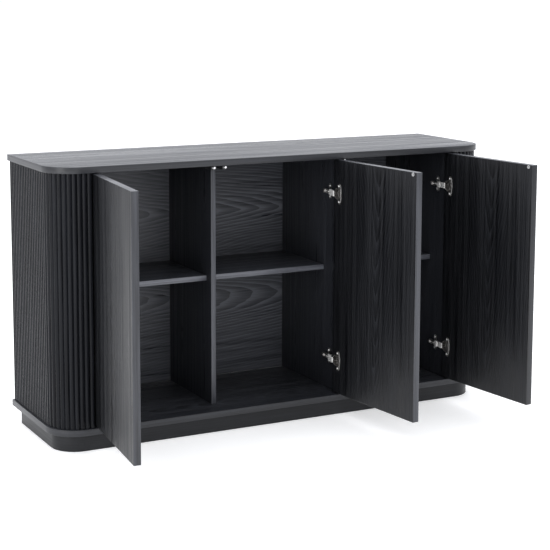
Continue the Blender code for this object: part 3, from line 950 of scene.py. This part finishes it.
def make_strike(door):
    """The disc that the magnet holds, with a rounded rim and a countersunk middle."""
    node = f"{door.name}_door_strike"
    low, high = door.box(node)
    radius = (high.x - low.x) / 2
    centre = (low + high) / 2
    bm = turned(
        [
            (0, low.y),
            (radius - 0.2 * MM, low.y),
            (radius, low.y + 0.3 * MM),
            (radius - 0.1 * MM, high.y - 0.35 * MM),
            (radius - 0.5 * MM, high.y),
            (radius * 0.45, high.y),
            (radius * 0.3, high.y - 0.5 * MM),
            (0, high.y - 0.6 * MM),
        ]
    )
    disc = door.place(stand(bm, centre))
    piece(f"{door.name}_strike_disc", disc, FINISH["strike"], door.body, [node], METAL_SHARP)


def make_latch(door):
    """A moulded case with a bore for the plunger and a screw ear on each side, and the plunger with a
    groove behind its magnet tip."""
    node = f"{door.name}_latch_body"
    low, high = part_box(node)
    tip_low, tip_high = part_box(f"{door.name}_latch_plunger")
    x, z = (tip_low.x + tip_high.x) / 2, (tip_low.z + tip_high.z) / 2
    radius = (tip_high.x - tip_low.x) / 2
    to_back = Matrix.Rotation(-math.pi / 2, 4, "X")
    bore = rod(radius + BORE_GAP, -MM, BORE_L)
    bore.transform(Matrix.Translation((x, low.y - 3 * MM, z)) @ to_back)
    body = cut(ease(block(low, high), 1.2 * MM), [bore])
    ears = []
    for side, along in EARS:
        near = low.x if side < 0 else high.x
        inner, outer = sorted((near - side * MM, near + side * EAR_W))
        ear = block(
            (inner, low.y + along - EAR_W, high.z - EAR_T),
            (outer, low.y + along + EAR_W, high.z),
        )
        ears.append(ease(ear, 0.5 * MM, 2))
        spot = Vector((near + side * EAR_W * 0.5, low.y + along, high.z - EAR_T + 0.1 * MM))
        SCREWS[CARCASS].append((spot, Vector((0, 0, -1)), 0.9))
    whole = joined(body, *ears)
    name = f"{door.name}_latch_case"
    piece(name, whole, FINISH["plastic"], CARCASS, [node], METAL_SHARP)
    length = tip_high.y - tip_low.y
    plunger = turned(
        [
            (0, 0),
            (radius - 0.8 * MM, 0),
            (radius, 0.8 * MM),
            (radius, GROOVE_AT),
            (radius - GROOVE_DEPTH, GROOVE_AT + 0.3 * MM),
            (radius - GROOVE_DEPTH, GROOVE_AT + MM),
            (radius, GROOVE_AT + 1.3 * MM),
            (radius, length),
            (0, length),
        ]
    )
    plunger.transform(Matrix.Translation((x, tip_low.y, z)) @ to_back)
    node, body = f"{door.name}_latch_plunger", f"{door.name}_plunger"
    name = f"{door.name}_magnet_plunger"
    piece(name, plunger, FINISH["magnet"], body, [node], METAL_SHARP)


# ---- Shelf pins and screws


def make_shelf_pins():
    """Round pins with eased ends."""
    nodes = [n for n in frame["nodes"] if n.endswith("_shelf_pin")]
    parts = []
    for node in nodes:
        low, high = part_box(node)
        y, z, radius = (low.y + high.y) / 2, (low.z + high.z) / 2, (high.z - low.z) / 2
        length = high.x - low.x
        profile = [
            (0, 0),
            (radius - PIN_EASE, 0),
            (radius, PIN_EASE),
            (radius, length - PIN_EASE),
            (radius - PIN_EASE, length),
            (0, length),
        ]
        pin = turned(profile, 24)
        pin.transform(Matrix.Translation((low.x, y, z)) @ Matrix.Rotation(math.pi / 2, 4, "Y"))
        parts.append(pin)
    piece("shelf_pins", joined(*parts), FINISH["nickel"], CARCASS, nodes, METAL_SHARP)


def make_back_screws():
    """Screws along the back panel's top and foot, and one row up the line of each upright."""
    low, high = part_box("back_panel")
    left, right = low.x + BACK_SCREW_INSET, high.x - BACK_SCREW_INSET
    foot, head = low.z + BACK_SCREW_INSET, high.z - BACK_SCREW_INSET
    across = round((right - left) / BACK_SCREW_PITCH)
    up = round((head - foot) / BACK_SCREW_PITCH)
    spots = [(left + (right - left) * i / across, z) for i in range(across + 1) for z in (foot, head)]
    for node in UPRIGHTS:
        x = sum(corner.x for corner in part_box(node)) / 2
        spots += [(x, foot + (head - foot) * i / up) for i in range(1, up)]
    for x, z in spots:
        SCREWS["back"].append((Vector((x, high.y - BACK_SCREW_SUNK, z)), Vector((0, 1, 0)), 1.0))


def screw_tree():
    """Countersunk heads with a cross recess, one at each point, facing the way the point says."""
    tree = bpy.data.node_groups.new("Cross head screws", "GeometryNodeTree")
    face = tree.interface
    face.new_socket("Places", in_out="INPUT", socket_type="NodeSocketGeometry")
    for name, kind in (
        ("Head Radius", "NodeSocketFloat"),
        ("Head Height", "NodeSocketFloat"),
        ("Recess Width", "NodeSocketFloat"),
        ("Material", "NodeSocketMaterial"),
    ):
        face.new_socket(name, in_out="INPUT", socket_type=kind)
    face.new_socket("Screws", in_out="OUTPUT", socket_type="NodeSocketGeometry")
    nodes = Nodes(tree)
    given = nodes.add("NodeGroupInput").outputs
    head = nodes.add(
        "GeometryNodeMeshCone",
        {
            "Vertices": 20,
            "Radius Top": nodes.times(given["Head Radius"], 0.72),
            "Radius Bottom": given["Head Radius"],
            "Depth": given["Head Height"],
        },
    ).outputs[0]
    slots = []
    for wide, long in (("X", "Y"), ("Y", "X")):
        size = nodes.add(
            "ShaderNodeCombineXYZ",
            {
                wide: given["Recess Width"],
                long: nodes.times(given["Head Radius"], 1.05),
                "Z": given["Head Height"],
            },
        ).outputs[0]
        lift = nodes.add("ShaderNodeCombineXYZ", {"Z": given["Head Height"]}).outputs[0]
        slot = nodes.add("GeometryNodeMeshCube", {"Size": size}).outputs[0]
        inputs = {"Geometry": slot, "Translation": lift}
        slots.append(nodes.add("GeometryNodeTransform", inputs).outputs[0])
    recessed = nodes.add(
        "GeometryNodeMeshBoolean", {"Mesh 1": head}, operation="DIFFERENCE", solver="EXACT"
    )
    for slot in slots:
        nodes.set(recessed.inputs["Mesh 2"], slot)
    kind = "GeometryNodeInputNamedAttribute"
    facing = nodes.add(kind, {"Name": "facing"}, data_type="FLOAT_VECTOR").outputs[0]
    turn = nodes.add("FunctionNodeAlignRotationToVector", {"Vector": facing}, axis="Z").outputs[0]
    scale = nodes.add(kind, {"Name": "scale"}, data_type="FLOAT").outputs[0]
    heads = nodes.add(
        "GeometryNodeInstanceOnPoints",
        {"Points": given["Places"], "Instance": recessed.outputs[0], "Rotation": turn, "Scale": scale},
    ).outputs[0]
    solid = nodes.add("GeometryNodeRealizeInstances", {0: heads}).outputs[0]
    inputs = {"Geometry": solid, "Material": given["Material"]}
    dressed = nodes.add("GeometryNodeSetMaterial", inputs).outputs[0]
    nodes.add("NodeGroupOutput", {0: dressed})
    return tree


def make_screws():
    """One mesh of screw heads for each body, and one for the back panel."""
    tree = screw_tree()
    for group, screws in SCREWS.items():
        body = CARCASS if group == "back" else group
        # Heads other than the back panel's take the bright nickel, a painted highlight.
        finish = FINISH["blackened"] if group == "back" else FINISH["satin"]
        mesh = bpy.data.meshes.new("screw places")
        mesh.from_pydata([spot for spot, _, _ in screws], [], [])
        mesh.attributes.new("facing", "FLOAT_VECTOR", "POINT")
        mesh.attributes.new("scale", "FLOAT", "POINT")
        # Fetched again by name, because adding an attribute moves the ones that are there.
        for i, (_, direction, size) in enumerate(screws):
            mesh.attributes["facing"].data[i].vector = direction
            mesh.attributes["scale"].data[i].value = size
        values = {
            "Head Radius": SCREW_R,
            "Head Height": SCREW_T,
            "Recess Width": RECESS_W,
            "Material": finish,
        }
        heads = apply_tree(new_object("screw places", mesh), tree, values)
        mesh_piece(f"{group}_screws", heads, None, body, (), METAL_SHARP)


# ---- Camera, light and floor


def make_camera():
    camera = bpy.data.cameras.new("camera")
    camera.sensor_width = 36
    camera.lens = CAMERA_LENS
    camera.shift_y = CAMERA_SHIFT_Y
    camera.clip_end = 50
    obj = new_object("camera", camera)
    turn = Matrix.Rotation(CAMERA_YAW, 4, "Z") @ Matrix.Rotation(math.pi / 2 - CAMERA_PITCH, 4, "X")
    obj.matrix_world = Matrix.Translation(CAMERA_AT) @ turn @ Matrix.Rotation(CAMERA_ROLL, 4, "Z")
    bpy.context.scene.camera = obj


def area_light(name, place, target, size, power):
    light = bpy.data.lights.new(name, "AREA")
    light.shape = "RECTANGLE"
    light.size, light.size_y = size
    light.energy = power
    obj = new_object(name, light)
    obj.visible_camera = False
    obj.location = place
    obj.rotation_euler = (Vector(target) - Vector(place)).to_track_quat("-Z", "Y").to_euler()


def make_studio():
    world = bpy.data.worlds.new("studio")
    bpy.context.scene.world = world
    world.use_nodes = True
    nodes = Nodes(world.node_tree)
    # The backdrop behind and the ceiling are bright, and the room in front and to the left is dimmer.
    direction = nodes.add("ShaderNodeTexCoord").outputs["Generated"]
    parts = nodes.add("ShaderNodeSeparateXYZ", {0: direction}).outputs
    behind = nodes.less(nodes.times(parts[1], GLOW_BEHIND), nodes.times(parts[0], GLOW_ACROSS))
    strength = nodes.plus(nodes.plus(behind, 0.5, clamp=True), GLOW_FRONT)
    strength = nodes.math("MINIMUM", strength, GLOW_MOST)
    left = nodes.math("MAXIMUM", nodes.times(parts[0], -DIM_LEFT), 0.0)
    strength = nodes.less(strength, left)
    overhead = nodes.times(nodes.math("MAXIMUM", parts[2], 0.0), GLOW_UP)
    strength = nodes.plus(strength, overhead)
    glow = nodes.add("ShaderNodeBackground", {"Color": (0.97, 0.985, 1.03, 1), "Strength": strength})
    nodes.add("ShaderNodeOutputWorld", {"Surface": glow.outputs[0]})
    bpy.context.scene.view_settings.view_transform = "Standard"
    area_light("overhead softbox", (0, -1.0, 4.2), (0, -0.6, 0), (7, 6), 80)
    area_light("front softbox", (-0.6, -5.5, 2.2), (0, 0, 0.4), (4, 2.5), 40)
    area_light("left strip", (-3.3, -1.55, 1.1), (-0.65, -0.15, 0.4), (0.7, 2.0), 30)


def make_floor():
    material, nodes, shader = new_material("pale floor")
    tone = nodes.noise(nodes.on_object(), 1.5)
    colour = nodes.ramp(tone, (0.93, 0.93, 0.93), (0.96, 0.96, 0.96))
    nodes.set(shader.inputs["Base Color"], colour)
    shader.inputs["Roughness"].default_value = 0.9
    shader.inputs["Emission Color"].default_value = (1, 1, 1, 1)
    shader.inputs["Emission Strength"].default_value = FLOOR_GLOW
    bm = bmesh.new()
    bmesh.ops.create_grid(bm, x_segments=1, y_segments=1, size=FLOOR_HALF)
    floor = new_object("floor", mesh_of("floor", bm))
    floor.data.materials.append(material)


def make_finishes():
    left, right, back, up = (-1, 0, 0), (1, 0, 0), (0, 1, 0), (0, 0, 1)
    # Light in each finish is painted light: it makes the one black oak lighter or darker by how much light
    # each surface gets. The high values paint in the light on the back panel and the highlights on the
    # edgings. The low values paint the shade on the reeds, plinth and base.
    finishes = {
        "top": oak("oak of the top", (0.3, -0.06, 0), back, right, heart=0.14, leaf=0.4, gloss=0.33),
        "base": oak("oak of the base", (1.1, -0.2, 0), back, right, light=0.65),
        "back": oak(
            "oak of the back panel",
            (0.5, 0, 0.05),
            up,
            left,
            heart=0.255,
            leaf=0.395,
            figure=1.6,
            streaks=0.7,
            light=2.2,
        ),
        "back outside": straight_oak(
            "outside of the back panel", LEVEL_GRAIN, gloss=0.5, light=0.45, shine=0.3
        ),
        "panels": oak("oak of the upright panels", (0.3, -0.4, 0.1), back, up, streaks=0.4, light=0.95),
        "shelves": oak("oak of the shelves", (0.6, -0.1, 0), back, right, light=1.1),
        "plinth": straight_oak("oak of the plinth", LEVEL_GRAIN, light=0.4, shine=0.3),
        "reeds": straight_oak("oak of the reeds", UPRIGHT_GRAIN, gloss=0.24, light=0.38, shine=0.11),
        "rim": straight_oak("edging of the top and base", LEVEL_GRAIN, light=0.75),
        # The edgings of the doors' ends, the uprights and the shelves are painted far lighter: painted
        # highlight on those edges.
        "door end with painted highlight": straight_oak("edging of the doors' ends", LEVEL_GRAIN, gloss=0.3, light=2.6),
        "upright edging": straight_oak("upright edging", UPRIGHT_GRAIN, light=2.4),
        "level edging": straight_oak("level edging", LEVEL_GRAIN, light=5.0),
        "nickel": brushed_metal("nickel plate", (0.6, 0.59, 0.57), 0.28),
        # Near white and only partly metallic: a painted highlight on the dampers, the rolled rims and the
        # screw heads.
        "satin": brushed_metal("satin nickel plate", (0.97, 0.96, 0.93), 0.32, 0.35),
        # Darker than the other nickel: painted shade for the cup's hollow.
        "cup": brushed_metal("nickel inside the cups", (0.3, 0.29, 0.28), 0.45),
        "blackened": brushed_metal("blackened steel", (0.12, 0.12, 0.125), 0.34),
        "strike": brushed_metal("strike steel", (0.5, 0.5, 0.5), 0.45, 0.4),
        "magnet": brushed_metal("ground magnet steel", (0.8, 0.8, 0.8), 0.22),
        "plastic": moulded_plastic("black moulded plastic"),
    }
    for door in map(Door, DOORS):
        across = door.open.to_3x3() @ Vector((1, 0, 0))
        origin = door.open @ Vector((-0.1, 0, 0.3 * door.sign))
        name = f"{door.name}_door"
        # Painted light on the doors' long edges: lighter than the face as painted highlight, and darker on
        # the right door as painted shade.
        edge_painted_light = 0.5 if door.name == "right" else 1.5
        finishes[f"{name} side"] = straight_oak(f"edging of the {name}", UPRIGHT_GRAIN, light=edge_painted_light)
        # The doors' faces get a low light, painted shade.
        finishes[name] = oak(
            f"oak of the {door.name} door",
            origin,
            across,
            up,
            heart=0.3,
            leaf=0.42,
            streaks=0.8,
            light=0.3,
            shine=0.4,
        )
    return finishes


def dress_cad_nodes():
    """The plinth's side and rear rails and its brace stay as packed, and take the plinth's finish."""
    for name, obj in frame["nodes"].items():
        if name.startswith("plinth"):
            obj.data.materials.clear()
            obj.data.materials.append(FINISH["plinth"])


FINISH = make_finishes()
SCREWS = {CARCASS: [], "left_door": [], "middle_door": [], "right_door": [], "back": []}
dress_cad_nodes()
make_boards()
make_panels()
make_plinth()
make_reeds()
make_shelf_pins()
make_back_screws()
for each_door in map(Door, DOORS):
    make_door(each_door)
    make_strike(each_door)
    make_latch(each_door)
    for hinge_level in LEVELS:
        make_cup(each_door, hinge_level)
        make_arm(each_door, hinge_level)
        make_plate(each_door, hinge_level)
        make_flange_screws(each_door, hinge_level)
make_screws()
make_camera()
make_studio()
make_floor()
